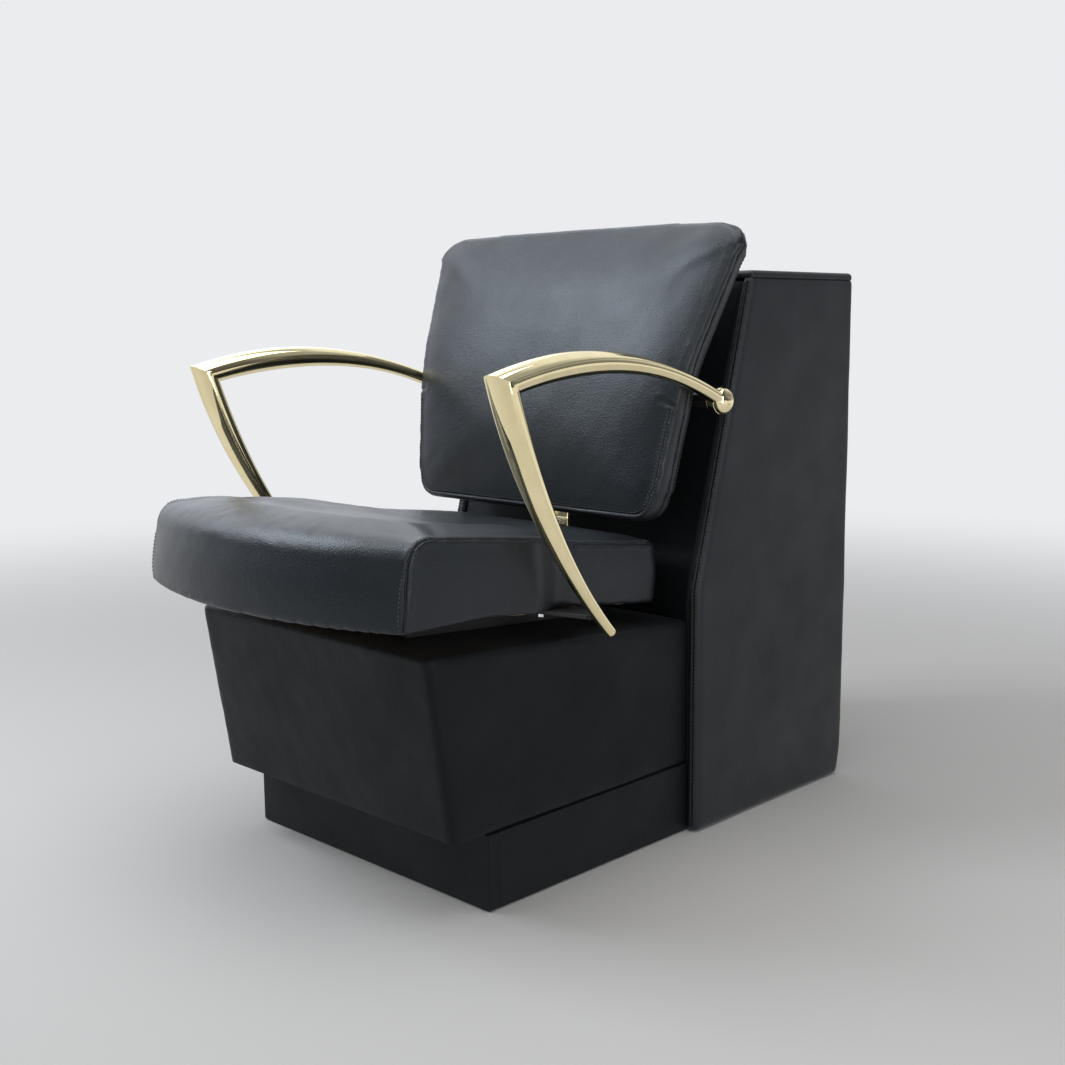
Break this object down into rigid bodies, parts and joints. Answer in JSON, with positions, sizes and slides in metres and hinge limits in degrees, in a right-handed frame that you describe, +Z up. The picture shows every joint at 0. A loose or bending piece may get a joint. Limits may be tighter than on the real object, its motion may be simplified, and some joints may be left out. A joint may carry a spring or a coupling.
{
  "type": "salon dryer chair",
  "caption": "Upholstered dryer chair: padded seat and leaning back on a toe-plinth base, with bent tapered tube arms and a tall padded dryer box behind.",
  "frame": {"origin": "on the floor under the middle of the chair's overall width and depth", "axes": "+X to the right as seen by a viewer in front, -Y towards the front of the seat, +Z up"},
  "size_m": [0.7066, 1.07, 0.9404],
  "materials": {
    "vinyl_cushion": "satin",
    "vinyl_box": "satin",
    "vinyl_base": "satin",
    "gold_tube": "polished",
    "chrome": "polished",
    "painted_steel": "satin",
    "painted_board": "matte",
    "plywood": "matte",
    "nylon": "matte"
  },
  "bodies": {
    "root": {"box_right_side": "vinyl_box", "box_left_side": "vinyl_box", "box_top": "vinyl_box", "box_front_lower": "vinyl_box", "box_front_upper": "vinyl_box", "box_rear_panel": "painted_board", "box_heel_rail": "vinyl_box", "box_rear_screws": "chrome", "box_floor": "plywood", "box_battens": "plywood", "base_front": "vinyl_base", "base_right_side": "vinyl_base", "base_left_side": "vinyl_base", "base_top_panel": "vinyl_base", "base_floor": "plywood", "plinth_front": "vinyl_base", "plinth_right_side": "vinyl_base", "plinth_left_side": "vinyl_base", "plinth_rear": "plywood", "glides": "nylon", "seat_cushion": "vinyl_cushion", "seat_board": "plywood", "seat_risers": "painted_board", "strap_bolts": "chrome", "frame_bolts": "chrome", "arm_right": "gold_tube", "arm_left": "gold_tube", "arm_boss_right": "gold_tube", "arm_boss_left": "gold_tube", "arm_caps": "gold_tube", "arm_bolts": "chrome", "strap_right": "painted_steel", "strap_left": "painted_steel", "back_cushion": "vinyl_cushion", "back_board": "plywood", "back_rear_cover": "vinyl_cushion", "back_upright": "gold_tube", "back_bolts": "chrome", "tube_saddle": "painted_steel", "cross_tube": "painted_steel", "tube_plugs": "painted_steel", "hood_board": "plywood", "hood_nuts": "chrome"}
  },
  "joints": []
}
